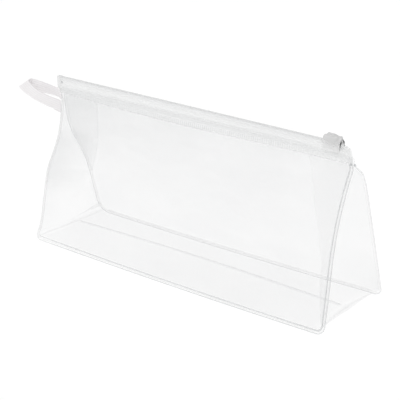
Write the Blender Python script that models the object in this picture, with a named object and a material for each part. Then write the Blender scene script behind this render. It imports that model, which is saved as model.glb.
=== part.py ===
"""Clear film makeup bag with a slide zip: a tent-shaped pouch that stands on its base.

Two outer film panels are welded to one folded gusset strip, which makes the left end, the base and the
right end. Two zip tracks close the mouth, a slider runs along them between two fused end stops, and a
ribbon wrist loop leaves the left seam. Work in millimetres here; solids are made in metres, +Z up, with
-Y the front, +X the end where the closed slider stands, and Z = 0 the surface that the bag stands on.
"""

import math

import bmesh
import bpy
import numpy as np
from mathutils import Vector

MM = 0.001

# Driving dimensions, in millimetres.
WIDTH = 220.0  # the base, weld to weld
FILM = 0.4  # film thickness
GAP = 0.3  # clearance between neighbouring pieces
FLANGE = 2.0  # width of the welded margin round each panel
CORNER = 5.0  # radius of the panels' bottom corners
CRUSHED_CORNER = 9.0  # radius of the back left one, which is pushed up
RIDGE = 4.8  # height of the base film's crease above the floor at mid-length
BASE_LIFT = 3.0  # height of the base film at its welds
# Heights of the rows of film.
LEVELS = [CORNER, 7, 9, 14, 20, 28, 36, 44, 52, 58, 64, 70, 76, 80, 83, 85.5, 87]
FOLD = 0.45  # half the width of the blunt fold at the gusset's crease
FOLD_START = 0.7  # share of the way from a weld to the crease where the film turns towards the crease
RIM_SET = 0.3  # how far the gusset's edge is inside the panels' rims at the ends
FLOOR_SET = 0.5  # and at the floor
BASE_REACH = 100.0  # the base is straight up to this distance either side of the middle
BASE_END = (9.0, 3.2)  # where the base's crease ends: (distance in from the seam, height)

ZIP_TOP = 100.0  # height of the zip's upper edge at X = 0
ZIP_TILT = math.radians(0.83)  # the zip drops towards +X by this angle
ZIP_LEFT, ZIP_RIGHT = -116.5, 104.2
STOP_LENGTH = {"left": 2.8, "right": 2.3}
STOP_HALF = 1.3  # half of a stop's thickness at its outer face
STOP_DEPTH = 6.6  # how far a stop reaches below the zip's upper edge
TRACK_DEPTH, TRACK_SAG = 10.2, 1.0  # depth of a track at its ends, and how much deeper it is at mid-length
WELD_BAND = 3.2  # height of the knurled weld at the foot of each track
RIB_ZONE = 6.2  # depth of the straight, ribbed part of the tracks
TRACK_FLANGE = 0.5  # thickness of a track's welded flange
TRACK_INNER = 0.2  # distance of each track's inner face from the middle plane
TRACK_OUTER = {"front": 1.2, "back": 1.8}
# The tongue crosses the middle plane into the groove: (reach across, depth of its foot, depth of its head).
TONGUE = {"front": (-0.5, 3.9, 3.1), "back": (0.95, 4.3, 2.7)}

SLIDER_LENGTH, SLIDER_WIDTH = 10.8, 6.2
SLIDER_LEFT = 87.0  # its left face when the bag is closed
SLIDER_SKIRT = 5.3  # how far its side plates reach below the zip's upper edge
SLIDER_CHANNEL, SLIDER_FLARE = 2.1, 0.4  # half of its channel's width on the left, and what the right adds
SLIDER_WAIST = 0.2  # how far its side plates draw in at mid-length
SLIDER_ROOF = 0.5  # height of its channel above the zip's upper edge
# Height of the grip above the zip at each share of the slider's length.
GRIP = [(0.0, 1.8), (0.16, 3.3), (0.45, 3.0), (0.62, 2.4), (0.78, 2.7), (0.92, 2.8), (1.0, 1.7)]

STRAP_WIDTH, STRAP_THICKNESS = 7.3, 1.0
STRAP_HINGE = (-114.0, 0.0, 85.0)  # on the upright line that the loop swings about
STRAP_RINGS = 49  # cross-sections along the ribbon
MOST_SLANT = 0.75  # the ribbon's cross-section widens at most to 1 / this where it lies aslant
# The ribbon's middle line, and how far its width leans towards +X and +Y for each millimetre up.
STRAP_ROUTE = [
    (-114.5, -0.6, 81.4, 0.0, 0.0),
    (-119.0, -2.8, 83.2, 0.12, 0.0),
    (-125.0, -4.9, 85.2, 0.28, 0.0),
    (-132.0, -5.6, 87.3, 0.36, 0.1),
    (-139.5, -4.4, 89.2, 0.5, 0.35),
    (-146.2, -2.2, 90.7, 0.95, 1.15),
    (-148.9, 0.6, 91.2, 0.95, 1.24),
    (-147.6, 3.0, 90.5, 0.7, 0.95),
    (-141.5, 4.6, 89.7, 0.3, 0.4),
    (-132.0, 4.6, 89.3, 0.1, -0.15),
    (-122.0, 2.8, 89.3, 0.0, -0.3),
    (-114.5, 0.6, 89.3, 0.0, 0.0),
]

# Half-depth of each seam at each height: (height, distance from the middle plane).
PINCH = [(87, 1.2), (100, 1.2)]  # the panels meet under the zip
SEAMS = {
    ("front", "left"): [(0, 34.2), (8, 28), (26, 23.1), (43, 18.7), (57, 10.6), (66, 6.1), (79, 2.6)] + PINCH,
    ("front", "right"): [(0, 32.6), (21, 28.9), (41, 25.7), (58, 20.4), (74, 12.1), (81, 6.6)] + PINCH,
    ("back", "left"): [(0, 28.8), (20, 23.7), (41, 17.6), (53, 11.8), (64, 5.6), (76, 2.3)] + PINCH,
    ("back", "right"): [(0, 30.6), (27, 22.3), (44, 17.2), (61, 12.7), (76, 9), (82, 6.6)] + PINCH,
}
# X of each end's seams at each height: (height, X).
ENDS = {
    "left": [(0, -109.6), (8, -111.2), (57, -111.8), (79, -112.6), (100, -113.4)],
    "right": [(0, 111.6), (40, 110.8), (71, 109), (83, 107.3), (92, 104.5), (100, 103.8)],
}
# How far the gusset's middle is tucked in from the seams at each height: (height, tuck).
TUCKS = {
    "left": [(0, 1), (20, 9.5), (42, 22), (56, 27.5), (70, 30), (100, 30.5)],
    "right": [(0, 3), (24, 22.5), (30, 24), (48, 26), (65, 28.6), (100, 29)],
}
# Middle of the fold between each end and the base: (distance in from the seam, height).
FEET = {"left": (2.0, 2.6), "right": (4.5, 2.2)}
# Height where the flat triangle at the foot of each end closes to a point and the crease begins.
FACET_TOP = {"left": 44.0, "right": 24.0}
# Distance of each panel from the middle plane at mid-length: (at the floor, at ZIP_FOOT).
MIDDLES = {"front": (35.4, 5.6), "back": (27.4, 5.6)}
ZIP_FOOT = 90.0
END_REACH = 3.0  # how fast a seam's shape dies out along its panel

SIGN = {"front": -1.0, "back": 1.0}
END_SIGN = {"left": -1.0, "right": 1.0}


def smooth(knots, at):
    """Value at a place on the smooth curve through (place, value) knots, which never overshoots them."""
    t, v = (np.array(column, float) for column in zip(*knots))
    rise = np.diff(v) / np.diff(t)
    before, after = rise[:-1], rise[1:]
    turning = before * after <= 0
    middle = np.where(turning, 0, 2 * before * after / np.where(turning, 1, before + after))
    slope = [rise[0], *middle, rise[-1]]
    at = min(max(at, t[0]), t[-1])
    k = min(int(np.searchsorted(t, at, "right")) - 1, len(t) - 2)
    span = t[k + 1] - t[k]
    s = (at - t[k]) / span
    return (
        (1 + 2 * s) * (1 - s) ** 2 * v[k]
        + s * (1 - s) ** 2 * span * slope[k]
        + s * s * (3 - 2 * s) * v[k + 1]
        - s * s * (1 - s) * span * slope[k + 1]
    )


def zip_z(x, below=0.0):
    """Height of the zip's upper edge at X, less a distance below it."""
    return ZIP_TOP - x * math.tan(ZIP_TILT) - below


def bell(x):
    """0 at both ends of the zip and 1 at its middle."""
    left, right = smooth(ENDS["left"], 90), smooth(ENDS["right"], 90)
    return math.sin(math.pi * min(max((x - left) / (right - left), 0), 1)) ** 2


def track_depth(x):
    """How far the foot of a track is below the zip's upper edge at X."""
    return TRACK_DEPTH + TRACK_SAG * bell(x)


def panel_y(side, x, z):
    """Y of a panel's middle surface."""
    left, right = smooth(ENDS["left"], z), smooth(ENDS["right"], z)
    u = min(max((x - left) / (right - left), 0), 1)
    low, high = MIDDLES[side]
    middle = low + (high - low) * min(z / ZIP_FOOT, 1)
    to_left = (smooth(SEAMS[side, "left"], z) - middle) * (1 - u) ** END_REACH
    to_right = (smooth(SEAMS[side, "right"], z) - middle) * u**END_REACH
    return SIGN[side] * (middle + to_left + to_right)


def corner_radius(side, end):
    """Radius of one of the panels' bottom corners."""
    return CRUSHED_CORNER if (side, end) == ("back", "left") else CORNER


def corner_inset(side, end, z, margin=0.0):
    """How far a rounded bottom corner, or a line inside it by a margin, is in from the seam."""
    radius = corner_radius(side, end)
    if z >= radius:
        return margin
    return radius - math.sqrt(max((radius - margin) ** 2 - (radius - z) ** 2, 0))


def material(name, colour, roughness, alpha=1.0, coat=0.0):
    """A Principled material of one plain finish."""
    made = bpy.data.materials.new(name)
    made.use_nodes = True
    shader = made.node_tree.nodes["Principled BSDF"]
    shader.inputs["Base Color"].default_value = (*colour, 1.0)
    shader.inputs["Roughness"].default_value = roughness
    shader.inputs["Metallic"].default_value = 0.0
    shader.inputs["Alpha"].default_value = alpha
    shader.inputs["Coat Weight"].default_value = coat
    return made


def add_object(name, points, faces, finish, parent, pivot=(0.0, 0.0, 0.0), smooth_angle=40):
    """An object whose origin is at pivot, from points in the bag's own coordinates."""
    mesh = bpy.data.meshes.new(name)
    pivot = Vector(pivot)
    mesh.from_pydata([(Vector(p) - pivot) * MM for p in points], [], faces)
    made = bmesh.new()
    made.from_mesh(mesh)
    bmesh.ops.triangulate(made, faces=[f for f in made.faces if len(f.verts) > 4])
    bmesh.ops.recalc_face_normals(made, faces=made.faces)
    made.to_mesh(mesh)
    made.free()
    mesh.shade_smooth()
    mesh.set_sharp_from_angle(angle=math.radians(smooth_angle))
    mesh.materials.append(finish)
    thing = bpy.data.objects.new(name, mesh)
    bpy.context.scene.collection.objects.link(thing)
    thing.parent = parent
    thing.location = pivot * MM
    return thing


def film(name, grid, across, finish, parent):
    """A closed sheet of film round a grid of middle points, thickened along the vectors across."""
    rows, columns = grid.shape[:2]
    count = rows * columns
    points = [*(grid + across * FILM / 2).reshape(-1, 3), *(grid - across * FILM / 2).reshape(-1, 3)]
    faces = []
    for r in range(rows - 1):
        for c in range(columns - 1):
            near = [r * columns + c, r * columns + c + 1, (r + 1) * columns + c + 1, (r + 1) * columns + c]
            faces += [near, [count + k for k in reversed(near)]]
    rim = list(range(columns))
    rim += [r * columns + columns - 1 for r in range(1, rows)]
    rim += [(rows - 1) * columns + c for c in range(columns - 2, -1, -1)]
    rim += [r * columns for r in range(rows - 2, 0, -1)]
    for a, b in zip(rim, rim[1:] + rim[:1]):
        faces.append([b, a, count + a, count + b])
    return add_object(name, points, faces, finish, parent)


def loft(name, rings, finish, parent, pivot=(0.0, 0.0, 0.0)):
    """A closed solid through rings of the same number of points, with flat ends."""
    n = len(rings[0])
    points = [p for ring in rings for p in ring]
    faces = [list(range(n)), [len(points) - 1 - k for k in range(n)]]
    for r in range(len(rings) - 1):
        for k in range(n):
            a, b = r * n + k, r * n + (k + 1) % n
            faces.append([b, a, a + n, b + n])
    return add_object(name, points, faces, finish, parent, pivot)


def make_panel(side, finish, parent):
    """An outer panel: rounded bottom corners, straight floor edge, top margin under the zip's weld."""
    corner_rows = [0.0, 0.5, 1.6, 3.2]
    grid = []
    for level in [*corner_rows, *LEVELS, "top"]:
        row = []
        for u in np.linspace(0, 1, 25):
            z = level
            if level == "top":
                flat_x = ZIP_LEFT + (ZIP_RIGHT - ZIP_LEFT) * u
                z = zip_z(flat_x, track_depth(flat_x) - WELD_BAND + GAP)
            left = smooth(ENDS["left"], z) + corner_inset(side, "left", z)
            right = smooth(ENDS["right"], z) - corner_inset(side, "right", z)
            x = left + (right - left) * u
            row.append((x, panel_y(side, x, z), z))
        grid.append(row)
    grid = np.array(grid)
    along = np.gradient(grid, axis=1)
    along[..., 2] = 0
    across = np.cross(along, (0, 0, 1.0))
    across /= np.linalg.norm(across, axis=2, keepdims=True)
    film(f"{side}_panel", grid, across, finish, parent)


def half_station(side, end, place):
    """Points across half of the gusset strip, from the panel's edge to the crease.

    place is an X on the base, or a height on the left or right end; heights under CORNER stand for
    places round the bottom corner.
    """
    outward = END_SIGN.get(end, 0)
    if end == "base":
        edge, weld = (place, FLOOR_SET), (place, BASE_LIFT)
        crease = (place, BASE_LIFT + (RIDGE - BASE_LIFT) * math.cos(math.pi * place / WIDTH))
    elif place < CORNER:
        turn = math.pi / 2 * (CORNER - place) / CORNER
        radius = corner_radius(side, end)
        centre = smooth(ENDS[end], radius) - outward * radius
        edge, weld = (
            (centre + outward * r * math.cos(turn), radius - r * math.sin(turn))
            for r in (radius - FLOOR_SET, radius - FLANGE)
        )
        seam = smooth(ENDS[end], 0)
        inward, height = FEET[end] if place else BASE_END
        crease = (seam - outward * inward, height)
    else:
        seam = smooth(ENDS[end], place)
        edge = (seam - outward * corner_inset(side, end, place, RIM_SET), place)
        weld = (seam - outward * corner_inset(side, end, place, FLANGE), place)
        crease = (seam - outward * smooth(TUCKS[end], place), place)
    points = []
    for x, z in (edge, weld):
        slope = panel_y(side, x, z + 0.5) - panel_y(side, x, z - 0.5)
        inside = (FILM + GAP) * math.hypot(1, slope)
        points.append((x, panel_y(side, x, z) - SIGN[side] * inside, z))
    start, stop = np.array(points[1]), np.array((crease[0], SIGN[side] * FOLD, crease[1]))
    turned = start + (stop - start) * FOLD_START
    if end != "base" and CORNER <= place < FACET_TOP[end]:  # the strip is flat across its foot
        turned[0], turned[1] = crease[0], start[1] * (1 - place / FACET_TOP[end])
    for share in (0.1, 0.5, 1.0):
        points.append(tuple(start + (turned - start) * share))
    points.append(tuple(stop))
    return points


def make_gusset(finish, parent):
    """The one strip that makes the left end, the base and the right end, folded along its middle."""
    heights = [0.0, CORNER / 2, *LEVELS]
    places = [("left", z) for z in reversed(heights)]
    places += [("base", x) for x in np.linspace(-BASE_REACH, BASE_REACH, 15)]
    places += [("right", z) for z in heights]
    stations = [half_station("front", *place) + half_station("back", *place)[::-1] for place in places]
    grid = np.array(stations)
    along, over = np.gradient(grid, axis=0), np.gradient(grid, axis=1)
    across = np.cross(along, over)
    across /= np.linalg.norm(across, axis=2, keepdims=True)
    film("gusset_strip", grid, across, finish, parent)


def make_track(side, finish, parent):
    """Half of the zip: a ribbed head with its tongue or groove, and a flange welded to the panel."""
    tongue, tongue_low, tongue_high = TONGUE[side]
    left, right = (ZIP_LEFT + STOP_LENGTH["left"] + GAP, ZIP_RIGHT - STOP_LENGTH["right"] - GAP)
    rings = []
    for x in np.linspace(left, right, 21):
        foot = track_depth(x)
        flange = [
            (depth, abs(panel_y(side, x, zip_z(x, depth))) + FILM + GAP + 0.05)
            for depth in (foot - WELD_BAND - 0.1, foot - WELD_BAND / 2, foot)
        ]
        profile = [
            (0, TRACK_INNER),
            (0, TRACK_OUTER[side]),
            (RIB_ZONE, TRACK_OUTER[side]),
            *[(depth, y + TRACK_FLANGE / 2) for depth, y in flange],
            *[(depth, y - TRACK_FLANGE / 2) for depth, y in reversed(flange)],
            (RIB_ZONE - 0.4, TRACK_INNER),
            (tongue_low, TRACK_INNER),
            (tongue_low, tongue),
            (tongue_high, tongue),
            (tongue_high, TRACK_INNER),
        ]
        rings.append([(x, SIGN[side] * y, zip_z(x, depth)) for depth, y in profile])
    loft(f"{side}_zip_track", rings, finish, parent)


def make_stop(end, finish, parent):
    """The lump where both tracks are fused together, which stops the slider."""
    outward = END_SIGN[end]
    outer = ZIP_RIGHT if end == "right" else ZIP_LEFT
    rounding, swell = 0.4, 0.35  # its outer face is this much thinner all round, over this length
    faces = [(outer, 0.0), (outer - outward * rounding, swell), (outer - outward * STOP_LENGTH[end], swell)]
    rings = []
    for x, grown in sorted(faces):
        half = STOP_HALF + grown
        profile = [(0.3 - grown, half - 0.5), (0.8 - grown, half)]
        profile += [(STOP_DEPTH - 0.2, half), (STOP_DEPTH, half - 0.5)]
        outline = profile + [(depth, -y) for depth, y in reversed(profile)]
        rings.append([(x, y, zip_z(x, depth)) for depth, y in outline])
    loft(f"{end}_end_stop", rings, finish, parent)


def make_slider(finish, parent):
    """An upside-down channel over the zip, with a saddle-shaped grip on top."""
    middle = SLIDER_LEFT + SLIDER_LENGTH / 2
    half = SLIDER_WIDTH / 2
    rings = []
    for share, rise in GRIP:
        x = SLIDER_LEFT + SLIDER_LENGTH * share
        channel = SLIDER_CHANNEL + SLIDER_FLARE * share  # wider where the parted tracks leave
        plate = half - SLIDER_WAIST * math.sin(math.pi * share)
        inside = [(SLIDER_SKIRT, channel), (-SLIDER_ROOF, channel), (-SLIDER_ROOF, 0.0)]
        inside += [(depth, -y) for depth, y in reversed(inside[:2])]
        shell = [(SLIDER_SKIRT, plate), (-1.0, plate), (-1.4, half - 0.5), (-rise, half - 0.9)]
        outside = [(depth, -y) for depth, y in shell] + [(depth, y) for depth, y in reversed(shell)]
        rings.append([(x, y, zip_z(x, depth)) for depth, y in inside + outside])
    loft("slider", rings, finish, parent, pivot=(middle, 0.0, zip_z(middle)))


def make_strap(finish, parent):
    """The ribbon wrist loop: out from the left seam, round its turn and back above itself."""
    last = len(STRAP_ROUTE) - 1
    curves = [list(enumerate(values)) for values in zip(*STRAP_ROUTE)]
    placed = np.array([[smooth(curve, s) for curve in curves] for s in np.linspace(0, last, STRAP_RINGS)])
    line, leans = placed[:, :3], placed[:, 3:]
    along = np.gradient(line, axis=0)
    along /= np.linalg.norm(along, axis=1, keepdims=True)
    along[[0, -1]] = (-1.0, 0.0, 0.0), (1.0, 0.0, 0.0)  # the ribbon's ends are cut square to the seam
    rings = []
    for point, ahead, lean in zip(line, along, leans):
        width = np.array((*lean, 1.0))
        width /= np.linalg.norm(width)
        thick = np.cross(ahead, width)
        slant = np.linalg.norm(thick)
        wide = STRAP_WIDTH / max(slant, MOST_SLANT)
        corners = [(0.5, 0.25), (0.46, 0.5), (-0.46, 0.5), (-0.5, 0.25)]
        corners += [(-w, -t) for w, t in corners]
        rings.append([point + width * w * wide + thick / slant * t * STRAP_THICKNESS for w, t in corners])
    loft("wrist_strap", rings, finish, parent, pivot=STRAP_HINGE)


def centre_on_base(root):
    """Moves the whole bag so that the origin is under the middle of its outline."""
    bpy.context.view_layer.update()
    corners = [
        thing.matrix_world @ Vector(corner)
        for thing in bpy.context.scene.objects
        if thing.type == "MESH"
        for corner in thing.bound_box
    ]
    for axis in range(2):
        values = [corner[axis] for corner in corners]
        root.location[axis] = -(min(values) + max(values)) / 2


def build():
    for thing in list(bpy.data.objects):
        bpy.data.objects.remove(thing)
    root = bpy.data.objects.new("bag", None)
    bpy.context.scene.collection.objects.link(root)

    clear_film = material("clear_film", (0.93, 0.94, 0.94), 0.08, alpha=0.35, coat=0.5)
    frosted_track = material("frosted_track", (0.88, 0.88, 0.88), 0.35, alpha=0.75)
    clear_moulding = material("clear_moulding", (0.84, 0.84, 0.84), 0.2, alpha=0.8, coat=0.3)
    ribbon = material("ribbon", (0.92, 0.9, 0.9), 0.75)

    for side in SIGN:
        make_panel(side, clear_film, root)
        make_track(side, frosted_track, root)
    make_gusset(clear_film, root)
    for end in END_SIGN:
        make_stop(end, frosted_track, root)
    make_slider(clear_moulding, root)
    make_strap(ribbon, root)
    centre_on_base(root)


build()
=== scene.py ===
"""Looks of the clear zip makeup bag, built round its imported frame.

Lengths are millimetres in the bag's own coordinates, where the zip's middle plane is Y = 0 and the floor is
Z = 0. They become the frame's metres when a mesh is made. The film, zip, slider and ribbon are rebuilt finely
on the surfaces that the plain solids follow.
"""

import math

import bmesh
import bpy
import numpy as np
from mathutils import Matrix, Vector


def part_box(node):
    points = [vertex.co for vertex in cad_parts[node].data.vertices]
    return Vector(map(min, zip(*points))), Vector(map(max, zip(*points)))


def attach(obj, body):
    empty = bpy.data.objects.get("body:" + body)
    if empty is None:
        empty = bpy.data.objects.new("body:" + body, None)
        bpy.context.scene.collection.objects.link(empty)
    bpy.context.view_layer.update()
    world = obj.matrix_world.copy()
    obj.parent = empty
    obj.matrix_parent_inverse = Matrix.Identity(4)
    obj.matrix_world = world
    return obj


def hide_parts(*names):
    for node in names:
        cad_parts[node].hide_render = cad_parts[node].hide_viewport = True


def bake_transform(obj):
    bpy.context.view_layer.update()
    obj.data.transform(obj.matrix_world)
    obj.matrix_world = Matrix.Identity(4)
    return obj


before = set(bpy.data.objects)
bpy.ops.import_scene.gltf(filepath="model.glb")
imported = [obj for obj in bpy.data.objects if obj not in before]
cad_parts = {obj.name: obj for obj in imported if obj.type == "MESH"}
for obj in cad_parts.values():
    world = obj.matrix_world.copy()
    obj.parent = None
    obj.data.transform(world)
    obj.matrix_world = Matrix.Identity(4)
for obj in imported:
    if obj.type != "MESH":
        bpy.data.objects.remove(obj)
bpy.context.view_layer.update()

# The bag's driving dimensions, in millimetres.
MM = 0.001
FILM = 0.35  # film thickness
SKIN = 0.05  # space between two welded films
FLANGE = 2.0  # width of the welded margin round each panel
CORNER, CRUSHED_CORNER = 5.0, 9.0  # radius of the panels' bottom corners, and of the back left one, pushed up
BASE_LENGTH = 220.0
BASE_LIFT, RIDGE = 3.0, 4.8  # heights of the base film at its welds, and of its crease at mid-length
FOLD = 0.45  # radius of the gusset's crease
ZIP_TOP, ZIP_TILT = 100.0, math.radians(0.83)  # height of its upper edge at X = 0, which drops towards +X
ZIP_BOW = 0.1  # how much the zip's upper edge rises at its middle
ZIP_LEFT, ZIP_RIGHT = -116.5, 104.2
STOP_LEFT, STOP_RIGHT = 2.8, 2.3  # lengths of the fused stops
TRACK_ENDS = {"left": ZIP_LEFT + STOP_LEFT, "right": ZIP_RIGHT - STOP_RIGHT}
WELD_BAND, RIB_ZONE = 3.2, 6.2  # height of the knurled weld at a track's foot, and depth of its ribbed part
TRACK_FLANGE = 0.5  # thickness of a track's welded flange
KNURL_PITCH, KNURL_DEPTH = 1.5, 0.22
# How far the foot of a track is below the zip's upper edge at each X.
TRACK_DEPTHS = [(-113, 10.3), (-60, 10.9), (0, 10.7), (60, 9.8), (104, 10.2)]
SLIDER_LEFT, SLIDER_LENGTH, SLIDER_WIDTH = 87.0, 10.8, 6.2  # its left face when closed, and its size
STRAP_WIDTH, STRAP_THICKNESS = 7.3, 1.0

# Where the mouth's opening starts at each end and is greatest, and how high it is there.
OPEN_LEFT, OPEN_RIGHT, OPEN_MIDDLE, OPEN_HEIGHT = -109.0, 103.0, -3.0, 92.0

# Half-depth of each seam at each height: (height, distance from the middle plane).
PINCH = [(87, 1.2), (100, 1.2)]  # the panels meet under the zip
SEAMS = {
    ("front", "left"): [(0, 34.2), (8, 28), (26, 23.1), (43, 18.7), (57, 10.6), (66, 6.1), (79, 2.6)] + PINCH,
    ("front", "right"): [(0, 32.6), (21, 28.9), (41, 25.7), (58, 20.4), (74, 12.1), (81, 6.6)] + PINCH,
    ("back", "left"): [(0, 28.8), (20, 23.7), (41, 17.6), (53, 11.8), (64, 5.6), (76, 2.3)] + PINCH,
    ("back", "right"): [(0, 30.6), (27, 22.3), (44, 17.2), (61, 12.7), (76, 9), (82, 6.6)] + PINCH,
}
# X of each end's seams at each height: (height, X).
ENDS = {
    "left": [(0, -109.6), (8, -111.2), (57, -111.8), (79, -112.6), (100, -113.4)],
    "right": [(0, 111.6), (40, 110.8), (71, 109), (83, 107.3), (92, 104.5), (100, 103.8)],
}
# How far the gusset's middle is tucked in from the seams at each height: (height, tuck).
TUCKS = {
    "left": [(0, 1), (20, 9.5), (42, 22), (56, 27.5), (70, 30), (100, 30.5)],
    "right": [(0, 3), (24, 22.5), (30, 24), (48, 26), (65, 28.6), (100, 29)],
}
# Middle of the fold between each end and the base: (distance in from the seam, height).
FEET = {"left": (2.0, 2.6), "right": (4.5, 2.2)}
BASE_END = (9.0, BASE_LIFT + 0.2)  # where the base's crease ends, in the same terms
# Height where the flat triangle at the foot of each end closes to a point and the crease begins.
FACET_TOP = {"left": 44.0, "right": 24.0}
# Distance of each panel from the middle plane at mid-length: (at the floor, at ZIP_FOOT).
MIDDLES = {"front": (35.4, 5.6), "back": (27.4, 5.6)}
ZIP_FOOT = 90.0
END_REACH = 3.0  # how fast a seam's shape dies out along its panel
SIGN = {"front": -1.0, "back": 1.0}
OUTWARD = {"left": -1.0, "right": 1.0}

stop_low, stop_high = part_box("left_end_stop")
ORIGIN = np.array((stop_low.x - ZIP_LEFT * MM, (stop_low.y + stop_high.y) / 2, 0.0))


def row_point(x, y, z):
    """A point of the bag's own coordinates, in the frame's metres."""
    return Vector(ORIGIN + np.array((x, y, z)) * MM)


# --- shapes shared by the pieces ------------------------------------------------------------------


def smooth(knots, at):
    """Values at places on the smooth curve through (place, value) knots, which never overshoots them."""
    t, v = (np.array(column, float) for column in zip(*knots))
    rise = np.diff(v) / np.diff(t)
    before, after = rise[:-1], rise[1:]
    turning = before * after <= 0
    middle = np.where(turning, 0, 2 * before * after / np.where(turning, 1, before + after))
    slope = np.array([rise[0], *middle, rise[-1]])
    at = np.clip(at, t[0], t[-1])
    k = np.clip(np.searchsorted(t, at, "right") - 1, 0, len(t) - 2)
    span = t[k + 1] - t[k]
    s = (at - t[k]) / span
    return (
        (1 + 2 * s) * (1 - s) ** 2 * v[k]
        + s * (1 - s) ** 2 * span * slope[k]
        + s * s * (3 - 2 * s) * v[k + 1]
        - s * s * (1 - s) * span * slope[k + 1]
    )


def along_zip(x):
    """0 at the zip's left seam and 1 at its right seam."""
    left, right = smooth(ENDS["left"], 90), smooth(ENDS["right"], 90)
    return np.clip((x - left) / (right - left), 0, 1)


def zip_z(x, below=0.0):
    """Height of the zip's upper edge at X, less a distance below it."""
    return ZIP_TOP - x * math.tan(ZIP_TILT) + ZIP_BOW * np.sin(np.pi * along_zip(x)) - below


def track_depth(x):
    """How far the foot of a track is below the zip's upper edge at X."""
    return smooth(TRACK_DEPTHS, x)


def panel_y(side, x, z):
    """Y of a panel's middle surface."""
    left, right = smooth(ENDS["left"], z), smooth(ENDS["right"], z)
    u = np.clip((x - left) / (right - left), 0, 1)
    low, high = MIDDLES[side]
    middle = low + (high - low) * np.minimum(z / ZIP_FOOT, 1)
    to_left = (smooth(SEAMS[side, "left"], z) - middle) * (1 - u) ** END_REACH
    to_right = (smooth(SEAMS[side, "right"], z) - middle) * u**END_REACH
    return SIGN[side] * (middle + to_left + to_right)


def corner_radius(side, end):
    """Radius of one of the panels' bottom corners."""
    return CRUSHED_CORNER if (side, end) == ("back", "left") else CORNER


def corner_inset(side, end, z, margin=0.0):
    """How far a rounded bottom corner, or a line inside it by a margin, is in from the seam."""
    radius = corner_radius(side, end)
    reach = np.sqrt(np.maximum((radius - margin) ** 2 - (radius - z) ** 2, 0))
    return np.where(z >= radius, margin, radius - reach)


def unit(vectors):
    """The vectors, each made one long."""
    return vectors / np.maximum(np.linalg.norm(vectors, axis=-1, keepdims=True), 1e-12)


def sheet(grid, across):
    """Points and faces of a closed film round a grid of middle points; the last faces are its cut edge."""
    count = grid.shape[0] * grid.shape[1]
    sides = (grid + across * FILM / 2, grid - across * FILM / 2)
    points = np.concatenate([side.reshape(-1, 3) for side in sides])
    index = np.arange(count).reshape(grid.shape[:2])
    near = np.stack([index[:-1, :-1], index[:-1, 1:], index[1:, 1:], index[1:, :-1]], -1).reshape(-1, 4)
    rim = np.concatenate([index[0, :-1], index[:-1, -1], index[-1, :0:-1], index[:0:-1, 0]])
    after = np.roll(rim, -1)
    edge = np.stack([after, rim, rim + count, after + count], -1)
    faces = np.concatenate([near, near[:, ::-1] + count, edge])
    return points, faces, np.repeat((0, 1), (2 * len(near), len(edge)))


def loft(rings, end_cap=True):
    """Points and faces of a solid through rings of the same number of points; its end may be left open."""
    rings = np.array(rings)
    count, n = rings.shape[:2]
    index = np.arange(count * n).reshape(count, n)
    turned = np.roll(index, -1, axis=1)
    faces = np.stack([index[:-1], turned[:-1], turned[1:], index[1:]], -1).reshape(-1, 4).tolist()
    faces.append(index[0, ::-1].tolist())
    if end_cap:
        faces.append(index[-1].tolist())
    return rings.reshape(-1, 3), faces


def add_piece(name, points, faces, finishes, slot, stands_for, marks, kinds=None, sharp=40.0):
    """A new piece in the frame. marks gives each point's greyness, much of it painted shade, and kinds each
    face's finish.
    """
    mesh = bpy.data.meshes.new(name)
    faces = [list(map(int, face)) for face in faces]
    mesh.from_pydata((ORIGIN + np.asarray(points) * MM).tolist(), [], faces)
    for finish in finishes:
        mesh.materials.append(finish)
    if kinds is not None:
        mesh.polygons.foreach_set("material_index", np.asarray(kinds, np.int32))
    line = mesh.attributes.new("line", "FLOAT", "POINT")
    line.data.foreach_set("value", np.asarray(marks, np.float32))
    made = bmesh.new()
    made.from_mesh(mesh)
    bmesh.ops.recalc_face_normals(made, faces=made.faces)
    made.to_mesh(mesh)
    made.free()
    mesh.shade_smooth()
    mesh.set_sharp_from_angle(angle=math.radians(sharp))
    piece = bpy.data.objects.new(name, mesh)
    bpy.context.scene.collection.objects.link(piece)
    if slot in ("clear_film", "frosted_track"):  # these let nearly all the light through
        piece.visible_shadow = False
        piece.visible_diffuse = False
    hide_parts(stands_for)
    return piece


def bend_open(piece):
    """Bakes the placement of a piece of the mouth into its mesh."""
    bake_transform(piece)


# --- materials ------------------------------------------------------------------------------------


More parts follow.
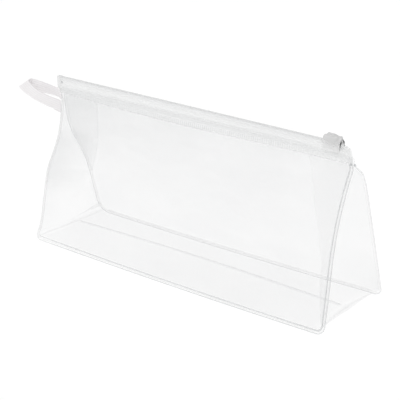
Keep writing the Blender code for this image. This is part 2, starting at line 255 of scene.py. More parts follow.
class Graph:
    """A material's node tree with one Principled shader, and short ways to add to it."""

    def __init__(self, name, colour, roughness, alpha=1.0):
        self.material = bpy.data.materials.new(name)
        self.material.use_nodes = True
        self.tree = self.material.node_tree
        self.shader = self.tree.nodes["Principled BSDF"]
        self.place = self.node("ShaderNodeTexCoord").outputs["Object"]
        self.set("Base Color", (*colour, 1.0))
        self.set("Roughness", roughness)
        self.set("Alpha", alpha)

    def set(self, socket, value):
        if isinstance(value, bpy.types.NodeSocket):
            self.tree.links.new(value, self.shader.inputs[socket])
        else:
            self.shader.inputs[socket].default_value = value

    def node(self, kind, inputs=(), **settings):
        made = self.tree.nodes.new(kind)
        for key, value in settings.items():
            setattr(made, key, value)
        for key, value in dict(inputs).items():
            if isinstance(value, bpy.types.NodeSocket):
                self.tree.links.new(value, made.inputs[key])
            else:
                made.inputs[key].default_value = value
        return made

    def maths(self, operation, a, b):
        return self.node("ShaderNodeMath", {0: a, 1: b}, operation=operation).outputs[0]

    def noise(self, scale, detail=2.0, squeeze=(1.0, 1.0, 1.0)):
        """Noise from 0 to 1 over the piece, in cycles per metre, times the squeeze along each axis."""
        mapped = self.node("ShaderNodeMapping", {"Vector": self.place, "Scale": squeeze}).outputs[0]
        made = self.node("ShaderNodeTexNoise", {"Vector": mapped, "Scale": scale, "Detail": detail})
        return made.outputs[0]

    def mark(self):
        """The greyness that the piece's points carry, partly painted shade and partly the parts' own grey."""
        return self.node("ShaderNodeAttribute", attribute_name="line").outputs["Fac"]

    def spread(self, value, low, high):
        """A 0 to 1 value spread from low to high."""
        return self.node("ShaderNodeMapRange", {0: value, 1: 0.0, 2: 1.0, 3: low, 4: high}).outputs[0]

    def mix(self, share, first, second):
        """A colour between two, each given as a colour or as another node's output."""
        ends = [c if isinstance(c, bpy.types.NodeSocket) else (*c, 1.0) for c in (first, second)]
        return self.node("ShaderNodeMix", {0: share, 6: ends[0], 7: ends[1]}, data_type="RGBA").outputs[2]

    def bump(self, height, distance, strength=1.0):
        made = self.node("ShaderNodeBump", {"Height": height, "Distance": distance, "Strength": strength})
        self.set("Normal", made.outputs[0])


def film_finish(name, clear, line):
    """Clear film: a light haze that thickens at glancing angles, with faint rubs, and painted shade where it
    is marked.

    clear is the opacity of the plain film, and line the opacity of painted shade that a full mark adds.
    """
    colour, shade_colour = (0.7, 0.705, 0.71), (0.5, 0.51, 0.52)
    made = Graph(name, colour, 0.1)
    broad, fine = made.noise(9.0, 2.0, (1.0, 1.0, 2.2)), made.noise(34.0, 3.0, (0.5, 1.0, 1.4))
    haze = made.spread(made.maths("MULTIPLY", made.maths("ADD", broad, fine), 0.5), -0.1, 2.1)
    facing = made.node("ShaderNodeLayerWeight", {"Blend": 0.35}).outputs["Facing"]
    # The mark is painted shade: it adds opacity and greys the colour towards the darker one.
    mark = made.mark()
    body = made.maths("MULTIPLY", haze, clear)
    rise = made.maths("MULTIPLY", made.maths("POWER", facing, 3.0), 0.14)
    fold = made.maths("MULTIPLY", mark, line)
    made.set("Alpha", made.maths("ADD", made.maths("ADD", body, rise), fold))
    made.set("Base Color", made.mix(mark, colour, shade_colour))
    rubs = made.noise(900.0, 3.0, (1.0, 1.0, 0.12))
    made.set("Roughness", made.spread(rubs, 0.04, 0.18))
    made.bump(made.noise(60.0, 2.0), 0.00004, 0.1)
    return made.material


def edge_finish():
    """Cut film seen on edge, which carries the light away and looks grey."""
    made = Graph("film_edge", (0.62, 0.625, 0.63), 0.25, 0.4)
    made.set("Base Color", made.mix(made.noise(60.0), (0.56, 0.57, 0.58), (0.7, 0.71, 0.72)))
    return made.material


def weld_finish():
    """The bead of film squeezed out of a weld, slightly uneven; its strength follows its mark, partly the
    bead's own grey and partly painted shade.
    """
    made = Graph("weld_bead", (0.5, 0.5, 0.51), 0.15, 0.38)
    made.set("Base Color", made.mix(made.noise(180.0), (0.44, 0.45, 0.46), (0.6, 0.61, 0.62)))
    mark = made.mark()
    # The mark sets the strength: the bead's own grey, with painted shade where it differs by side and place.
    made.set("Alpha", made.maths("MULTIPLY", mark, made.spread(made.noise(45.0), 0.24, 0.42)))
    made.bump(made.noise(700.0), 0.0001, 0.5)
    return made.material


def track_finish():
    """Frosted extrusion with faint drawing lines along it, and painted shade at its lips, knurled weld and
    grooves where marked.
    """
    made = Graph("frosted_track", (0.8, 0.8, 0.8), 0.4, 0.3)
    drawn = made.noise(500.0, 3.0, (0.015, 1.0, 1.0))
    mark = made.mark()
    plain = made.mix(drawn, (0.79, 0.795, 0.795), (0.83, 0.835, 0.835))
    # The mark greys the colour and adds opacity: painted shade.
    made.set("Base Color", made.mix(mark, plain, (0.62, 0.625, 0.63)))
    cloud = made.spread(made.noise(22.0, 2.0, (0.5, 1.0, 1.0)), 0.24, 0.34)
    made.set("Alpha", made.maths("ADD", cloud, made.maths("MULTIPLY", mark, 0.22)))
    made.set("Roughness", made.spread(drawn, 0.3, 0.5))
    made.bump(drawn, 0.00008, 0.25)
    return made.material


def moulded_finish():
    """Translucent moulding with a fine grain: clearer side plates, and a denser grip where marked."""
    made = Graph("clear_moulding", (0.74, 0.74, 0.74), 0.3, 0.7)
    mark = made.mark()
    clouded = made.mix(made.noise(160.0), (0.68, 0.68, 0.68), (0.76, 0.76, 0.76))
    made.set("Base Color", made.mix(mark, (0.8, 0.8, 0.8), clouded))
    made.set("Alpha", made.spread(mark, 0.45, 0.75))
    made.set("Roughness", made.spread(made.noise(900.0), 0.22, 0.4))
    made.bump(made.noise(2200.0), 0.00004, 0.5)
    return made.material


def ribbon_finish():
    """White woven ribbon: its warp ribs are in the mesh, with painted shade between them where marked, and
    the weft and fibre are added here.
    """
    made = Graph("ribbon", (0.86, 0.845, 0.85), 0.85)
    mark = made.mark()
    cloudy = made.mix(made.noise(120.0, 3.0), (0.88, 0.865, 0.87), (0.93, 0.915, 0.92))
    # The mark greys the colour between the ribs: painted shade.
    made.set("Base Color", made.mix(mark, cloudy, (0.82, 0.8, 0.81)))
    made.set("Sheen Weight", 0.25)
    made.set("Sheen Roughness", 0.4)
    weft = made.node("ShaderNodeTexWave", {"Vector": made.place, "Scale": 450.0, "Distortion": 1.0})
    both = made.maths("ADD", weft.outputs["Fac"], made.noise(3000.0, 3.0))
    made.bump(both, 0.00008, 0.6)
    return made.material


# The last figure of each is the opacity that a full mark of painted shade adds.
PANEL = film_finish("clear_film", 0.085, 0.1)
GUSSET = film_finish("clear_gusset", 0.026, 0.2)
EDGE = edge_finish()
BEAD = weld_finish()
TRACK = track_finish()
MOULDED = moulded_finish()
RIBBON = ribbon_finish()


# --- film -----------------------------------------------------------------------------------------


SLACK = 0.35  # height of the waves in a panel's film
LEVEL_TOP = 84.0  # a panel's rows of points are level up to here, then fan out to the zip's sloping weld
UNDER_BAND = 0.3  # how far a panel's top edge is below the top of the track's knurled weld
PANEL_SHADE, SHADE_START, SHADE_RISE = 0.5, 45.0, 40.0  # its painted shade near the zip, and where that begins
SHADE_FADE = 0.7  # how much less of it there is at the right end


def flutter(side, x, z):
    """Slack in a panel's film, which dies out at its seams."""
    u = along_zip(x)
    free = np.clip(4 * u * (1 - u), 0, 1) * np.sin(np.pi * np.clip(z / OPEN_HEIGHT, 0, 1))
    phase = 0.0 if side == "front" else 1.7
    waves = np.sin(x / 31.0 + z / 17.0 + phase) + 0.6 * np.sin(x / 13.0 - z / 23.0 + 2 * phase)
    return SLACK * free * waves


def panel_grid(side):
    """Middle points of a panel, row by row from the floor to the zip's weld."""
    near = [0, 0.35, 0.8, 1.3, 1.8, 2.3, 3, 4, 5.5, 7.5, 10]
    far = np.linspace(14, BASE_LENGTH - 14, 48)
    places = np.concatenate([near, far, BASE_LENGTH - np.array(near[::-1])]) / BASE_LENGTH
    low = [0, 0.12, 0.35, 0.7, 1.1, 1.6, 2.2, 3, 3.9, 5, 6.5, 8, 9]
    levels = np.concatenate([low, np.arange(12, LEVEL_TOP + 1, 3.0)])
    grid = []
    for share in np.concatenate([levels / LEVEL_TOP, 1 + np.linspace(0.25, 1, 4)]):
        z = np.full(places.shape, LEVEL_TOP * min(share, 1))
        if share > 1:
            flat_x = ZIP_LEFT + (ZIP_RIGHT - ZIP_LEFT) * places
            top = zip_z(flat_x, track_depth(flat_x) - WELD_BAND + UNDER_BAND)
            z = LEVEL_TOP + (top - LEVEL_TOP) * (share - 1)
        left = smooth(ENDS["left"], z) + corner_inset(side, "left", z)
        right = smooth(ENDS["right"], z) - corner_inset(side, "right", z)
        x = left + (right - left) * places
        y = panel_y(side, x, z) + flutter(side, x, z)
        grid.append(np.stack([x, y, z], -1))
    return np.array(grid)


def panel_shade_marks(x, z):
    """Painted shade: the panels are a little greyer towards the zip, most of all on the left."""
    return PANEL_SHADE * np.clip((z - SHADE_START) / SHADE_RISE, 0, 1) * (1 - SHADE_FADE * along_zip(x))


def make_panel(side):
    """An outer panel in three pieces, which meet on the slants from the zip's middle to both feet."""
    grid = panel_grid(side)
    along = np.gradient(grid, axis=1) * (1, 1, 0)
    points, faces, kinds = sheet(grid, unit(np.cross(along, (0, 0, 1.0))))
    name = f"{side}_film"
    marks = panel_shade_marks(points[:, 0], points[:, 2])
    whole = add_piece(name, points, faces, [PANEL, EDGE], "clear_film", f"{side}_panel", marks, kinds)
    cut = bmesh.new()
    cut.from_mesh(whole.data)
    for end in (OPEN_LEFT, OPEN_RIGHT):
        foot = row_point(end, 0, 0)
        across = (row_point(OPEN_MIDDLE, 0, OPEN_HEIGHT) - foot).cross(Vector((0, 1, 0)))
        parts = [*cut.verts, *cut.edges, *cut.faces]
        bmesh.ops.bisect_plane(cut, geom=parts, plane_co=foot, plane_no=across, dist=1e-7)

    def part_of(face):
        x, _, z = (np.array(face.calc_center_median()) - ORIGIN) / MM
        shares = {
            "left": (x - OPEN_LEFT) / (OPEN_MIDDLE - OPEN_LEFT),
            "right": (OPEN_RIGHT - x) / (OPEN_RIGHT - OPEN_MIDDLE),
            "low": z / OPEN_HEIGHT,
        }
        return min(shares, key=shares.get)

    for part in ("left", "right", "low"):
        piece = whole.copy()
        piece.name = f"{name}_{part}"
        piece.data = whole.data.copy()
        kept = cut.copy()
        bmesh.ops.delete(kept, geom=[f for f in kept.faces if part_of(f) != part], context="FACES")
        kept.to_mesh(piece.data)
        kept.free()
        bpy.context.scene.collection.objects.link(piece)
        bend_open(piece)
    cut.free()
    bpy.data.objects.remove(whole)


def seam_line(side, margin):
    """Points down a panel's left seam, along the floor and up the right one, at a margin inside its rim."""
    top, step = 88.0, 1.0
    line = []
    for end in ("left", "right"):
        out = OUTWARD[end]
        radius = corner_radius(side, end)
        z = np.arange(top, radius, -step)
        x = smooth(ENDS[end], z) - out * margin
        turn = np.linspace(0, math.pi / 2, 14)
        middle = smooth(ENDS[end], radius) - out * radius
        bend_x = middle + out * (radius - margin) * np.cos(turn)
        bend_z = radius - (radius - margin) * np.sin(turn)
        leg = np.stack([np.concatenate([x, bend_x]), np.concatenate([z, bend_z])], -1)
        line.append(leg if end == "left" else leg[::-1])
    floor_x = np.arange(line[0][-1, 0] + step, line[1][0, 0] - step / 2, step)
    floor = np.stack([floor_x, np.full(floor_x.shape, margin)], -1)
    x, z = np.concatenate([line[0], floor, line[1]]).T
    return np.stack([x, panel_y(side, x, z), z], -1)


# The beads of each side's weld: (margin inside the rim, half width, marks on the left, floor and right); the
# marks differ by side and place as painted shade.
BEADS = {
    "front": {"weld": (FLANGE, 0.47, (0.4, 0.8, 1.0)), "rim": (0.3, 0.24, (0.2, 0.9, 0.7))},
    "back": {"weld": (FLANGE, 0.3, (0.35, 0.1, 0.1)), "rim": (0.3, 0.24, (0.2, 0.25, 0.4))},
}
BEAD_PROUD, BEAD_FLATNESS = 0.02, 0.55  # how far a bead's middle is off the film, and its height to its width
BEAD_SWELL, SWELL_LENGTH = 0.12, 9.0  # how uneven its width is, and the length of that wave over 2 pi
BLEND_NEAR, BLEND_FAR = 2.0, 20.0  # its mark changes between these distances from each bottom corner


def make_beads(side):
    """The beads along the weld's inner edge and its rim, half sunk in the panel's outer face."""
    for place, (margin, half, strengths) in BEADS[side].items():
        line = seam_line(side, margin)
        line[:, 1] += SIGN[side] * (FILM / 2 + BEAD_PROUD)
        ahead = unit(np.gradient(line, axis=0))
        out = unit(np.cross(ahead, np.cross((0, SIGN[side], 0), ahead)))
        inward = np.cross(ahead, out)
        wide = half * (1 + BEAD_SWELL * np.sin(np.arange(len(line)) / SWELL_LENGTH))
        rings = [
            line + inward * (wide * math.cos(angle))[:, None] + out * BEAD_FLATNESS * half * math.sin(angle)
            for angle in np.linspace(0, 2 * math.pi, 10, endpoint=False)
        ]
        points, faces = loft(np.stack(rings, 1))
        left, floor, right = strengths
        first, last = ENDS["left"][0][1], ENDS["right"][0][1]
        places = (first + BLEND_NEAR, first + BLEND_FAR, last - BLEND_FAR, last - BLEND_NEAR)
        marks = np.interp(points[:, 0], places, (left, floor, floor, right))
        name = f"{side}_{place}_bead"
        bead = add_piece(name, points, faces, [BEAD], "clear_film", f"{side}_panel", marks)
        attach(bead, "bag")


RIM_SET, FLOOR_SET = 0.3, 0.4  # how far the gusset's edge is inside the panels' rims, at the ends and floor
FOLD_START = 0.7  # share of the way from a weld to the crease where the film turns towards the crease
BELLY = 1.2  # how far the film between a weld and the crease curves in, at most
BELLY_SHARES = [(0, 0.2), (20, 1), (60, 1), (80, 0)]  # the share of that at each height of the crease
HUMP = 6.75  # brings the top of t (1 - t) (1 - t) to 1
GUSSET_TOPS = {"left": -112.0, "right": 104.0}  # X of the zip where each end of the strip is cut off
GUSSET_TOP_DEPTH = 10.6  # and how far below the zip's upper edge that is
BASE_REACH = 101.0  # the base is straight up to this distance either side of the middle

# Painted shade on the strip: its base, its bottom corners with the fold there, the outer part of each end at
# each height, and what the crease adds.
BASE_SHADE = 0.24
CORNER_SHADE, CORNER_FOLD_SHADE, CORNER_FOLD = 0.08, 0.5, 1.3
END_SHADES = {
    "left": [(0, 0.16), (25, 0.2), (42, 0.7), (60, 0.7), (72, 0.1), (100, 0.0)],
    "right": [(0, 0.5), (25, 0.15), (60, 0.1), (100, 0.3)],
}
CREASE_SHADES = {"base": 0.45, "left": 0.12, "right": 0.05}


def half_section(side, end, place):
    """Points across half of the gusset strip, from a panel's edge to its middle, and if it is creased there.

    place is an X on the base, or a height on the left or right end; heights under CORNER stand for places
    round the bottom corner.
    """
    outward = OUTWARD.get(end, 0)
    if end == "base":
        edge, weld = (place, FLOOR_SET), (place, BASE_LIFT)
        crease = (place, BASE_LIFT + (RIDGE - BASE_LIFT) * math.cos(math.pi * place / BASE_LENGTH))
    elif place < CORNER:
        turn = math.pi / 2 * (CORNER - place) / CORNER
        radius = corner_radius(side, end)
        centre = smooth(ENDS[end], radius) - outward * radius
        edge, weld = (
            (centre + outward * r * math.cos(turn), radius - r * math.sin(turn))
            for r in (radius - FLOOR_SET, radius - FLANGE)
        )
        seam = smooth(ENDS[end], 0)
        inward, height = FEET[end]
        share = place / CORNER
        low = (seam - outward * BASE_END[0], BASE_END[1])
        high = (smooth(ENDS[end], CORNER) - outward * smooth(TUCKS[end], CORNER), CORNER)
        fold = (seam - outward * inward, height)
        bend = smooth([(0, 0), (0.5, 1), (1, 2)], share)
        crease = tuple(np.interp(bend, (0, 1, 2), values) for values in zip(low, fold, high))
    else:
        seam = smooth(ENDS[end], place)
        edge = (seam - outward * corner_inset(side, end, place, RIM_SET), place)
        weld = (seam - outward * corner_inset(side, end, place, FLANGE), place)
        crease = (seam - outward * smooth(TUCKS[end], place), place)
    rim = []
    for x, z in (edge, weld):
        slope = panel_y(side, x, z + 0.5) - panel_y(side, x, z - 0.5)
        rim.append((x, panel_y(side, x, z) - SIGN[side] * (FILM + SKIN) * math.hypot(1, slope), z))
    edge, weld = np.array(rim)
    stop = np.array((crease[0], SIGN[side] * FOLD, crease[1]))
    flat = end != "base" and CORNER <= place < FACET_TOP[end]
    turned = weld + (stop - weld) * FOLD_START
    if flat:  # the strip has no crease across its foot
        turned[0], turned[1] = crease[0], weld[1] * (1 - place / FACET_TOP[end])
    else:
        stop[0] += outward * FOLD
    line = np.concatenate([np.linspace(weld, turned, 15)[:-1], np.linspace(turned, stop, 8)])
    for _ in range(6):  # rounds the turn
        line[1:-1] = (line[:-2] + 2 * line[1:-1] + line[2:]) / 4
    t = np.linspace(0, 1, len(line))
    lift = BELLY * HUMP * t * (1 - t) ** 2 * smooth(BELLY_SHARES, stop[2])
    inward = unit(weld - edge) if end != "base" else np.zeros(3)
    return np.concatenate([[edge], line + lift[:, None] * inward]), not flat


def gusset_shade_marks(end, place, count, folded):
    """Painted shade on the gusset's film at points from a weld to its middle."""
    if end == "base":
        mark = np.full(count, BASE_SHADE)
    elif place < CORNER:
        mark = np.full(count, CORNER_SHADE + CORNER_FOLD_SHADE * max(1 - abs(place - CORNER_FOLD), 0))
    else:
        mark = np.linspace(1, 0, count) * smooth(END_SHADES[end], place)
    if folded:
        mark[-1] += CREASE_SHADES[end]
    return mark


def make_gusset():
    """The one strip that makes both ends and the base: a crease along its middle, flat feet, tucked tops."""
    corner = np.linspace(0, CORNER, 9)[:-1]
    low, high = np.arange(CORNER, 30, 0.8), np.arange(30, 86, 2.0)
    columns = {}
    for end, top_x in GUSSET_TOPS.items():
        heights = np.concatenate([corner, low, high, [87, 88, zip_z(top_x, GUSSET_TOP_DEPTH)]])
        columns[end] = [(end, z) for z in np.unique(heights)]
    base = [("base", x) for x in np.linspace(-BASE_REACH, BASE_REACH, 102)]
    grid, marks = [], []
    for end, place in columns["left"][::-1] + base + columns["right"]:
        (front, folded), (back, _) = (half_section(side, end, place) for side in ("front", "back"))
        crease = (front[-1] + back[-1]) / 2
        away = np.array((-OUTWARD.get(end, 0), 0, 1.0 if end == "base" else 0))
        arc = []
        for angle in np.linspace(-math.pi / 2, math.pi / 2, 7)[1:-1]:
            tip = away * FOLD * math.cos(angle) if folded else 0
            arc.append(crease + tip + np.array((0, FOLD * math.sin(angle), 0)))
        grid.append(np.concatenate([front, arc, back[::-1]]))
        half = gusset_shade_marks(end, place, len(front), folded)
        marks.append(np.concatenate([half, np.full(len(arc), half[-1]), half[::-1]]))
    grid = np.array(grid)
    across = unit(np.cross(np.gradient(grid, axis=0), np.gradient(grid, axis=1)))
    points, faces, kinds = sheet(grid, across)
    marks = np.tile(np.array(marks).ravel(), 2)
    finishes = [GUSSET, EDGE]
    gusset = add_piece("gusset_film", points, faces, finishes, "clear_film", "gusset_strip", marks, kinds)
    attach(gusset, "bag")


# --- zip ------------------------------------------------------------------------------------------


# The right end of the zip is cut round: how far its upper edge drops at each X.
RIGHT_DROP = [(97, 0), (99.6, 1.3), (101.4, 1.7), (102.8, 3.9), (103.6, 7.2), (104.2, 9.4)]
# The left end is cut square, then slants in to the seam: X at each depth.
LEFT_CUT = [(0, ZIP_LEFT), (6.5, ZIP_LEFT + 0.2), (8.5, ZIP_LEFT + 1.5), (10.6, ZIP_LEFT + 3.0)]
TRACK_INNER = 0.2  # distance of each track's inner face from the middle plane
TRACK_OUTER = {"front": 1.2, "back": 1.8}
TRACK_SET = FILM + SKIN + 0.1  # from a panel's middle to the middle of the flange welded on it
# The tongue crosses the middle plane into the groove: (reach across, depth of its foot, depth of its head).
TONGUE = {"front": (-0.5, 3.9, 3.1), "back": (0.95, 4.3, 2.7)}
LIP_THINNING = {"front": 0.5, "back": 0.9}  # how much thinner the tracks are at their upper lips
THINNED = 2.2  # and down to which depth
RIB_HEIGHT = 0.24  # height of the rib along a track's lip
LOWER_RIBS = (2.2, 3.5, 4.8)  # depths of the ribs below it
LOWER_RIB_WIDTH, LOWER_RIB_SHARE = 0.9, 0.8  # their width, and their height as a share of the lip's

# Painted shade on the tracks: their upper lips down to a depth, fading over LIP_FADE; the knurled weld at X =
# 0 and at the right end; and the grooves, each as (depth, half width, mark).
LIP_SHADE, LIP_DEPTH, LIP_FADE = 0.85, 0.75, 0.4
KNURL_SHADES, KNURL_FADE = (0.6, 0.35), 0.3
GROOVE_SHADES = [(2.9, 0.5, 0.2), (6.2, 0.6, 0.3)]

# A fused stop's outline: (depth below the zip's upper edge, half thickness).
STOP_OUTLINE = [(0.3, 0.7), (0.0, 1.1), (0.3, 1.4), (1.0, 1.45), (3.0, 1.45)]
STOP_OUTLINE += [(5.2, 1.45), (6.3, 1.4), (7.2, 1.4), (8.4, 1.4), (10.2, 1.2)]
STOP_BACK = 0.4  # how much thicker a stop is behind than in front, where the track is thicker too
MELTED_MARK, MELT_START, MELT_RISE = 0.7, 1.2, 0.8  # greyness of a stop's melted end, and where it begins
SPOT_MARK, SPOT_HEIGHT = 2.0, 0.4
# The dark spots where film has melted: name, node, place and radius.
SPOTS = [
    ("left_spot_weld", "left_end_stop", (-111.7, -1.45, 98.2), 0.75),
    ("front_seam_top", "front_panel", (105.0, -1.7, 88.4), 0.8),
    ("back_seam_top", "back_panel", (105.3, 1.6, 87.1), 0.8),
]

SLIDER_CHANNEL, SLIDER_FLARE = 2.1, 0.4  # half of its channel's width on the left, and what the right adds
SLIDER_WAIST = 0.2  # how far its side plates draw in at mid-length
SLIDER_ROOF = 0.5  # height of its channel above the zip's upper edge
# Share of the slider's length that is rounded at each end, and how far its plates and grip draw in there.
ROUNDED, PLATE_ROUND, GRIP_ROUND = 0.05, 0.2, 0.3
# Its outline at each share of its length: the grip's height above the zip's upper edge, the share of the full
# width that the grip has, and the depths of the step in the side plate and of the plate's lower edge.
GRIP_HEIGHTS = [(0, 2.8), (0.1, 3.7), (0.45, 3.7), (0.74, 3.0), (0.87, 3.4), (0.95, 3.7), (1, 3.2)]
GRIP_WIDTHS = [(0, 1.0), (0.7, 1.0), (0.88, 0.35), (1, 0.2)]
STEP_DEPTHS = [(0, -0.1), (0.06, 0.0), (0.35, 0.75), (0.65, 1.75), (0.81, 0.1), (1, 0.6)]
PLATE_DEPTHS = [(0, 4.0), (0.49, 4.4), (0.93, 5.1), (1, 4.8)]


def dropped(x, depth):
    """A depth below the zip's upper edge, squeezed down where the right end is cut round."""
    drop = smooth(RIGHT_DROP, x)
    return drop + depth * (1 - drop / track_depth(x))


def track_ring(side, x):
    """One cross-section of a track: ribbed head, tongue or groove, and knurled weld flange."""
    tongue, tongue_low, tongue_high = TONGUE[side]
    foot = track_depth(x)
    band = foot - WELD_BAND
    head = []
    for depth in np.linspace(0, RIB_ZONE, 32):
        thin = LIP_THINNING[side] * max(1 - depth / THINNED, 0)
        rib = max(math.cos(math.pi * (depth - 0.5)), 0) if depth < 1 else 0
        for centre in LOWER_RIBS:
            turn = math.pi * min(abs(depth - centre) / LOWER_RIB_WIDTH, 0.5)
            rib = max(rib, LOWER_RIB_SHARE * math.cos(turn))
        head.append((depth, TRACK_OUTER[side] - thin + RIB_HEIGHT * rib))
    depths = np.array([band - 0.1, band + 0.25, band + 0.6, band + 1.6, foot - 0.6, foot - 0.25, foot])
    raised = np.array([0, 0.2, 1, 1, 1, 0.2, 0]) * (0.5 + 0.5 * math.cos(2 * math.pi * x / KNURL_PITCH))
    flange = np.abs(panel_y(side, x, zip_z(x, depths))) + TRACK_SET
    profile = [(0.15, TRACK_INNER), (0.0, TRACK_INNER + 0.15), *head]
    profile += list(zip(depths, flange + TRACK_FLANGE / 2 + KNURL_DEPTH * raised))
    profile += list(zip(depths[::-2], (flange - TRACK_FLANGE / 2)[::-2]))
    profile += [(RIB_ZONE - 0.4, TRACK_INNER), (tongue_low, TRACK_INNER), (tongue_low, tongue)]
    profile += [(tongue_high, tongue), (tongue_high, TRACK_INNER)]
    depth, y = np.array(profile).T
    return np.stack([np.full(len(y), x), SIGN[side] * y, zip_z(x, dropped(x, depth))], -1)


def track_shade_marks(x, z):
    """Painted shade at a point of the tracks: along the lip at the top, on the knurled weld and in the
    grooves.
    """
    depth = zip_z(x) - z
    lip = LIP_SHADE * np.clip((LIP_DEPTH - depth) / LIP_FADE, 0, 1)
    # Painted shade on the knurl's ribs, standing in for their relief.
    ticks = 0.5 + 0.5 * np.cos(2 * np.pi * x / KNURL_PITCH)
    in_band = np.clip((depth - (track_depth(x) - WELD_BAND)) / KNURL_FADE, 0, 1)
    weld = np.interp(x, (0, ZIP_RIGHT), KNURL_SHADES) * ticks * in_band
    # Painted shade in each groove.
    grooves = sum(mark * np.clip(1 - np.abs(depth - at) / half, 0, 1) for at, half, mark in GROOVE_SHADES)
    return np.maximum(np.maximum(lip, weld), grooves)


def make_track(side):
    """A track in two halves, which run from the zip's middle to each stop."""
    slot, node = "frosted_track", f"{side}_zip_track"
    for part, end in TRACK_ENDS.items():
        steps = math.ceil(abs(OPEN_MIDDLE - end) / KNURL_PITCH * 5)
        rings = [track_ring(side, x) for x in np.linspace(end, OPEN_MIDDLE, steps)]
        points, faces = loft(rings, end_cap=False)
        name = f"{side}_zip_{part}"
        marks = track_shade_marks(points[:, 0], points[:, 2])
        piece = add_piece(name, points, faces, [TRACK], slot, node, marks, sharp=50)
        bend_open(piece)


def make_stop(end):
    """Both tracks melted into one, cut square on the left and round on the right."""
    inner = TRACK_ENDS[end]
    rings = []
    for share in (0, 0.3, 0.6, 0.8, 0.92, 1.0):
        swell = 0.5 + 0.5 * math.sqrt(1 - share**6)
        front, back = [], []
        for depth, y in STOP_OUTLINE:
            if end == "left":
                x = inner + (smooth(LEFT_CUT, depth) - inner) * share
                z = zip_z(x, depth)
            else:
                x = inner + STOP_RIGHT * share
                z = zip_z(x, dropped(x, depth))
            front.append((x, -y * swell, z))
            back.append((x, (y + STOP_BACK) * swell, z))
        rings.append(front + back[::-1])
    points, faces = loft(rings)
    melted = MELTED_MARK * np.clip((np.abs(points[:, 0] - inner) - MELT_START) / MELT_RISE, 0, 1)
    marks = np.maximum(track_shade_marks(points[:, 0], points[:, 2]), melted)
    slot, node = "frosted_track", f"{end}_end_stop"
    piece = add_piece(f"{end}_fused_stop", points, faces, [TRACK], slot, node, marks, sharp=60)
    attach(piece, "bag")


def make_spot(name, node, place, radius):
    """A small dark dome: a spot weld through the zip's end, or the melted top of a seam's bead."""
    x, y, z = place
    rings = []
    for turn in np.linspace(0, math.pi / 2, 6)[:-1]:
        r, out = radius * math.cos(turn), SPOT_HEIGHT * math.sin(turn)
        angles = np.linspace(0, 2 * math.pi, 20, endpoint=False)
        rings.append([(x + r * math.cos(a), y - out, z + r * math.sin(a)) for a in angles])
    points, faces = loft(rings)
    slot = "frosted_track" if "stop" in node else "clear_film"
    spot = add_piece(name, points, faces, [BEAD], slot, node, np.full(len(points), SPOT_MARK))
    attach(spot, "bag")


def slider_ring(share):
    """One cross-section of the slider, at a share of its length."""
    x = SLIDER_LEFT + SLIDER_LENGTH * share
    tables = (GRIP_HEIGHTS, GRIP_WIDTHS, STEP_DEPTHS, PLATE_DEPTHS)
    top, narrow, step, skirt = (float(smooth(knots, share)) for knots in tables)
    rounding = (1 - min(share, 1 - share, ROUNDED) / ROUNDED) ** 2
    channel = SLIDER_CHANNEL + SLIDER_FLARE * share
    plate = SLIDER_WIDTH / 2 - SLIDER_WAIST * math.sin(math.pi * share) - PLATE_ROUND * rounding
    top -= GRIP_ROUND * rounding
    inside = [(skirt, channel), (2.0, channel), (-0.2, channel)]
    inside += [(-SLIDER_ROOF, channel - 0.3), (-SLIDER_ROOF, 0.0)]
    outside = [(skirt, plate - 0.15), (skirt - 0.2, plate), (skirt - 0.9, plate), (step + 0.4, plate)]
    outside += [(step + 0.2, plate - 0.08), (step, plate - 0.4), (step - 0.5, plate - 0.55)]
    crown = [(0.55, 0.65), (0.2, 0.85), (0.04, 1.2), (0.3, 2.2)]
    outside += [(drop - top, (plate - inset) * narrow) for drop, inset in crown] + [(0.5 - top, 0.0)]
    near, hollow = ([(x, y, zip_z(x, depth)) for depth, y in half] for half in (outside, inside))
    ring = [*hollow, *[(px, -py, pz) for px, py, pz in reversed(hollow[:-1])]]
    return ring + [(px, -py, pz) for px, py, pz in near] + near[-2::-1]


def make_slider():
    """An upside-down channel with a saddle grip, and a raised wedge on each side plate."""
    points, faces = loft([slider_ring(share) for share in np.linspace(0, 1, 49)])
    shares = (points[:, 0] - SLIDER_LEFT) / SLIDER_LENGTH
    depths = zip_z(points[:, 0]) - points[:, 2]
    marks = np.clip((smooth(STEP_DEPTHS, shares) + 0.15 - depths) / 0.3, 0, 1)  # the grip, above its step
    piece = add_piece("slider_moulding", points, faces, [MOULDED], "clear_moulding", "slider", marks)
    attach(piece, "slider")


# --- wrist strap ----------------------------------------------------------------------------------

# The ribbon's middle line, and how far its width leans towards +X and +Y for each millimetre up.
STRAP_ROUTE = [
    (-114.5, -0.6, 81.4, 0.0, 0.0),
    (-119.0, -2.8, 83.2, 0.12, 0.0),
    (-125.0, -4.9, 85.2, 0.28, 0.0),
    (-132.0, -5.6, 87.3, 0.36, 0.1),
    (-139.5, -4.4, 89.2, 0.5, 0.35),
    (-146.2, -2.2, 90.7, 0.95, 1.15),
    (-148.9, 0.6, 91.2, 0.95, 1.24),
    (-147.6, 3.0, 90.5, 0.7, 0.95),
    (-141.5, 4.6, 89.7, 0.3, 0.4),
    (-132.0, 4.6, 89.3, 0.1, -0.15),
    (-122.0, 2.8, 89.3, 0.0, -0.3),
    (-114.5, 0.6, 89.3, 0.0, 0.0),
]
MOST_SLANT = 0.75  # the ribbon's cross-section widens at most to 1 / this where it lies aslant
STRAP_RINGS, BEND_PASSES = 181, 10  # cross-sections along the ribbon, and how often its bends are evened out
RIBS_ACROSS, RIB_SPAN = 5, 0.94  # its warp ribs, and the share of its width that they take up
RIB_SHADE_LEVEL, RIB_SHADE_FADE = 0.44, 0.1  # painted shade: the ribbon is greyer below this share of its thickness
# The ribbon's cut end shows behind and below the near root: its middle line, and its size.
TAIL_ROUTE = [(-115.0, -0.9, 78.2), (-116.5, -1.2, 78.7), (-118.0, -1.7, 79.4), (-119.2, -2.3, 80.1)]
TAIL_WIDTH, TAIL_THICKNESS = 2.6, 0.7


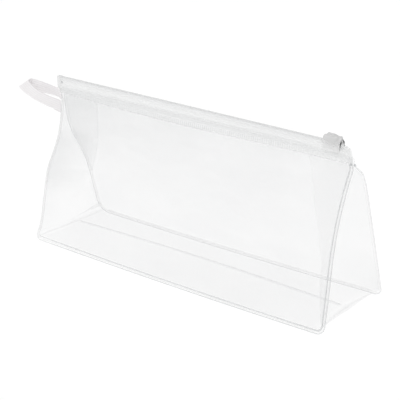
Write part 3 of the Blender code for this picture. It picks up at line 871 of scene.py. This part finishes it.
def ribbon_outline():
    """The ribbon's cross-section as shares of its width and thickness: warp ribs and rounded selvedges."""
    across = np.linspace(-RIB_SPAN / 2, RIB_SPAN / 2, RIBS_ACROSS * 4 + 1)
    level = 0.40 + 0.07 * np.cos(2 * math.pi * RIBS_ACROSS * across / RIB_SPAN)
    selvedge = 0.03 * np.maximum(np.abs(across) - 0.4, 0) / 0.07
    top = np.stack([across, level + selvedge], -1)
    bottom = -top
    return np.concatenate([[(-0.5, 0.2)], top, [(0.5, 0.2)], [(0.5, -0.2)], bottom, [(-0.5, -0.2)]])


def make_strap():
    """The ribbon loop: out from the left seam, round its turn and back above itself."""
    last = len(STRAP_ROUTE) - 1
    curves = [list(enumerate(values)) for values in zip(*STRAP_ROUTE)]
    placed = np.stack([smooth(curve, np.linspace(0, last, STRAP_RINGS)) for curve in curves], -1)
    for _ in range(BEND_PASSES):
        placed[1:-1] = (placed[:-2] + 2 * placed[1:-1] + placed[2:]) / 4
    line = placed[:, :3]
    ahead = unit(np.gradient(line, axis=0))
    ahead[[0, -1]] = (-1.0, 0.0, 0.0), (1.0, 0.0, 0.0)
    width = unit(np.concatenate([placed[:, 3:], np.ones((len(line), 1))], axis=1))
    thick = np.cross(ahead, width)
    slant = np.linalg.norm(thick, axis=1, keepdims=True)
    width *= STRAP_WIDTH / np.maximum(slant, MOST_SLANT)
    thick *= STRAP_THICKNESS / slant
    outline = ribbon_outline()
    rings = [point + outline[:, :1] * w + outline[:, 1:] * t for point, w, t in zip(line, width, thick)]
    add_ribbon("wrist_ribbon", rings)
    across, through = outline[:, 0] * TAIL_WIDTH, outline[:, 1] * TAIL_THICKNESS
    upright = np.stack([np.zeros(len(outline)), through, across], -1)
    add_ribbon("ribbon_tail", [np.array(point) + upright for point in TAIL_ROUTE])


def add_ribbon(name, rings):
    """A ribbon through its cross-sections, with painted shade in the grooves between its ribs."""
    points, faces = loft(rings)
    grooves = np.clip((RIB_SHADE_LEVEL - np.abs(ribbon_outline()[:, 1])) / RIB_SHADE_FADE, 0, 1)
    marks = np.tile(grooves, len(rings))
    piece = add_piece(name, points, faces, [RIBBON], "ribbon", "wrist_strap", marks, sharp=60)
    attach(piece, "strap")


# --- stage ----------------------------------------------------------------------------------------


def make_camera():
    """The camera, which looks down at the middle of the bag from its front right."""
    azimuth, elevation, distance = math.radians(38.2), math.radians(21.01), 0.66069
    aim = row_point(0.7, 0.0, 42.81)
    level = math.cos(elevation)
    back = Vector((math.sin(azimuth) * level, -math.cos(azimuth) * level, math.sin(elevation)))
    camera = bpy.data.objects.new("camera", bpy.data.cameras.new("camera"))
    camera.data.sensor_width, camera.data.lens = 36.0, 98.11
    camera.location = aim + back * distance
    camera.rotation_mode = "QUATERNION"
    camera.rotation_quaternion = (-back).to_track_quat("-Z", "Y")
    bpy.context.scene.collection.objects.link(camera)
    bpy.context.scene.camera = camera


def make_studio():
    """A white floor and room, with a broad soft light from above the front left."""
    scene = bpy.context.scene
    scene.view_settings.view_transform = "Standard"
    scene.cycles.transparent_max_bounces = 64
    room = bpy.data.worlds.new("room")
    room.use_nodes = True
    light = room.node_tree.nodes["Background"].inputs
    light["Color"].default_value = (1.0, 1.0, 1.0, 1.0)
    light["Strength"].default_value = 0.86
    scene.world = room
    lamp = bpy.data.objects.new("soft_light", bpy.data.lights.new("soft_light", "SUN"))
    lamp.data.energy = 0.45
    lamp.data.angle = math.radians(60)
    lamp.data.specular_factor = 0.3
    lamp.rotation_euler = (math.radians(35), math.radians(-25), 0)
    scene.collection.objects.link(lamp)

    paper = Graph("paper_floor", (0.92, 0.92, 0.92), 0.9)
    paper.set("Base Color", paper.mix(paper.noise(8.0), (0.92, 0.92, 0.92), (0.94, 0.94, 0.94)))
    paper.set("Emission Color", (1.0, 1.0, 1.0, 1.0))
    paper.set("Emission Strength", 0.115)
    reach, level = 6.0, -0.0002  # in metres; the floor is a hair below the bag
    corners = [(-reach, -reach, level), (reach, -reach, level), (reach, reach, level), (-reach, reach, level)]
    mesh = bpy.data.meshes.new("floor")
    mesh.from_pydata(corners, [], [(0, 1, 2, 3)])
    mesh.materials.append(paper.material)
    floor = bpy.data.objects.new("floor", mesh)
    scene.collection.objects.link(floor)


make_camera()
for side in SIGN:
    make_panel(side)
    make_beads(side)
    make_track(side)
make_gusset()
for end in OUTWARD:
    make_stop(end)
for spot in SPOTS:
    make_spot(*spot)
make_slider()
make_strap()
make_studio()
